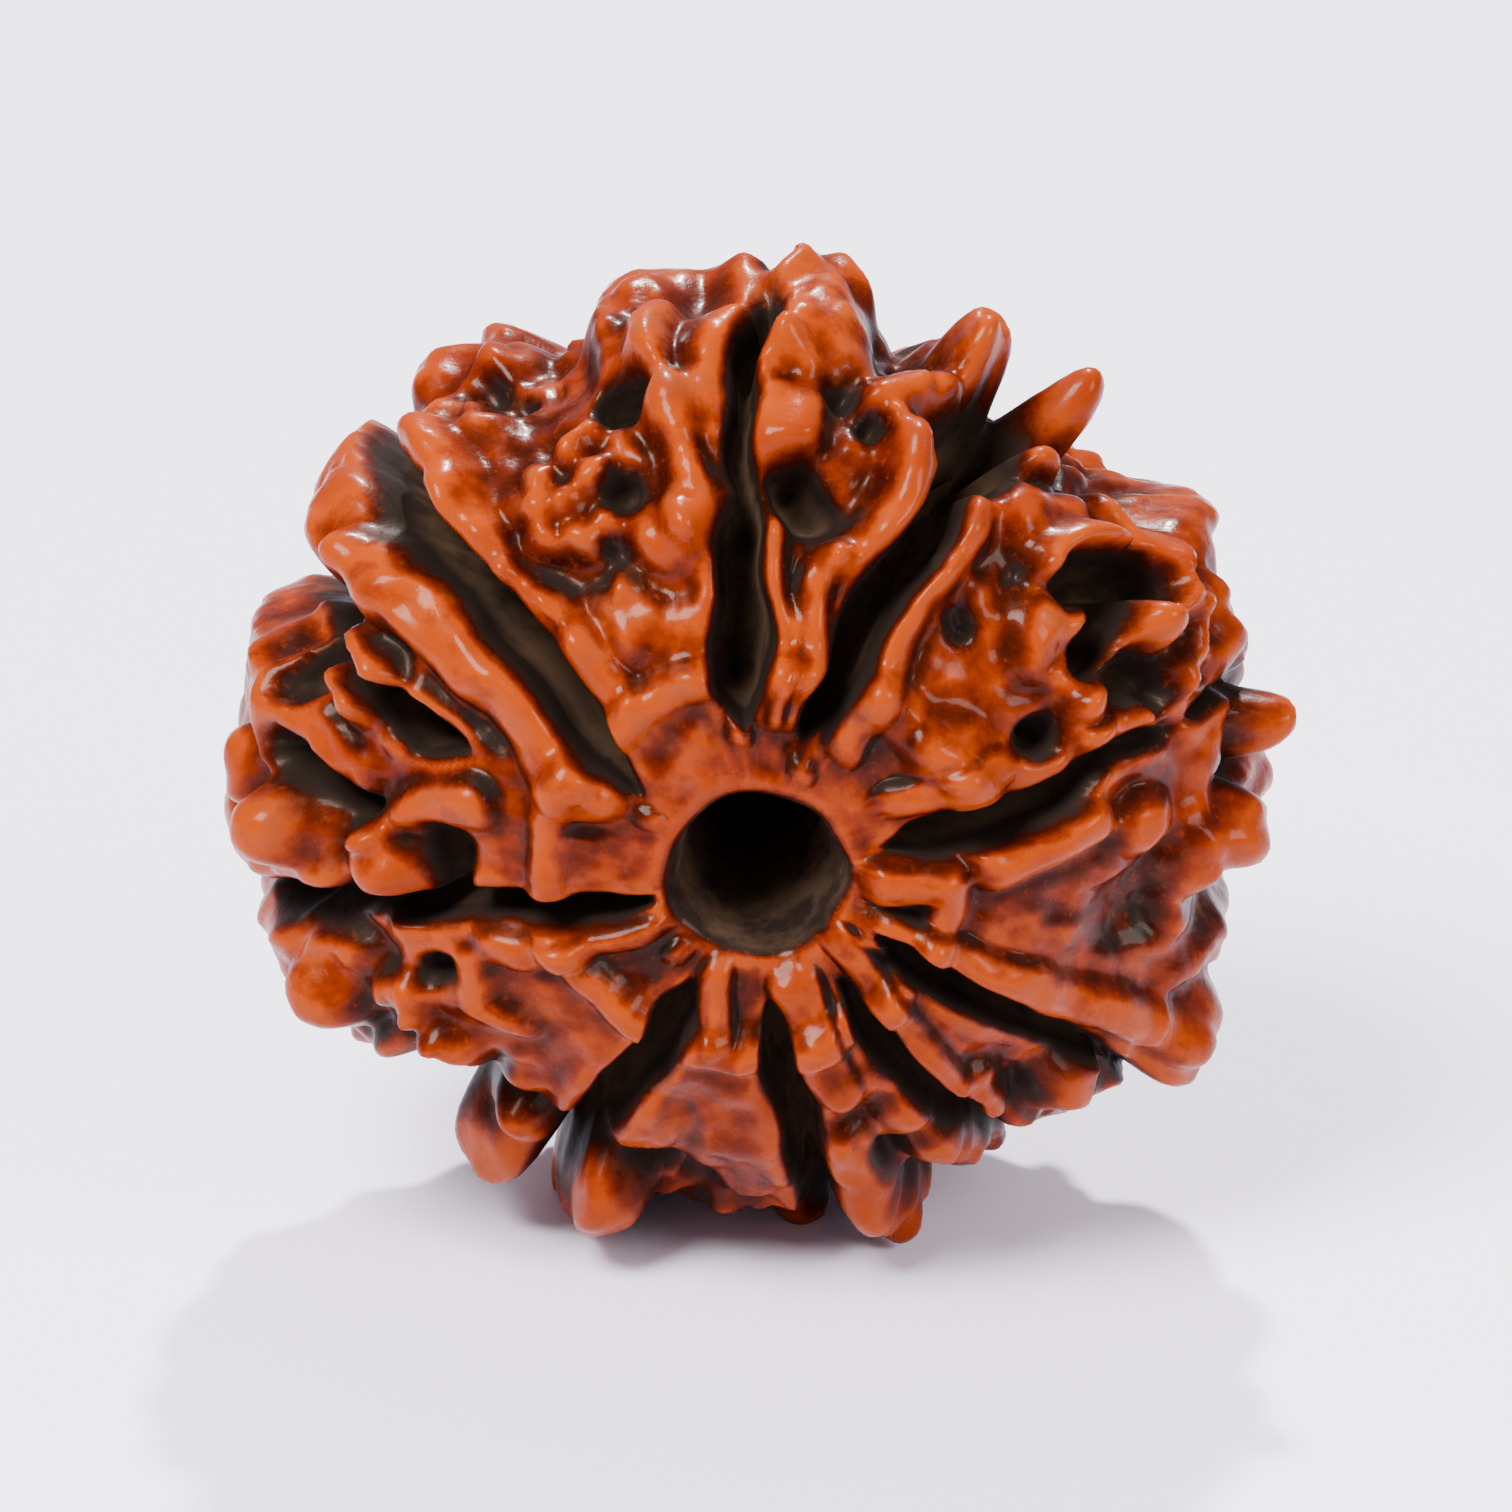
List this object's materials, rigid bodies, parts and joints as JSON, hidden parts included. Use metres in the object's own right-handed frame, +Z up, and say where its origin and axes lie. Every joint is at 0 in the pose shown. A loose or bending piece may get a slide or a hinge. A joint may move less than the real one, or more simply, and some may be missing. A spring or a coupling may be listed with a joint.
{
  "type": "rudraksha bead",
  "caption": "Oblate seed-stone bead with deep radial clefts, knobbly ridges and a thread hole from pole to pole, standing on its rim.",
  "frame": {"origin": "under the middle of the bead, on the surface it stands on", "axes": "+X to the right along the longest side, +Y along the thread hole from the front pole to the back pole, +Z up"},
  "size_m": [0.0258, 0.0174, 0.024],
  "materials": {
    "stone": "oiled, glossy on the ridges and dark in the clefts"
  },
  "bodies": {
    "root": {"bead": "stone"}
  },
  "joints": []
}
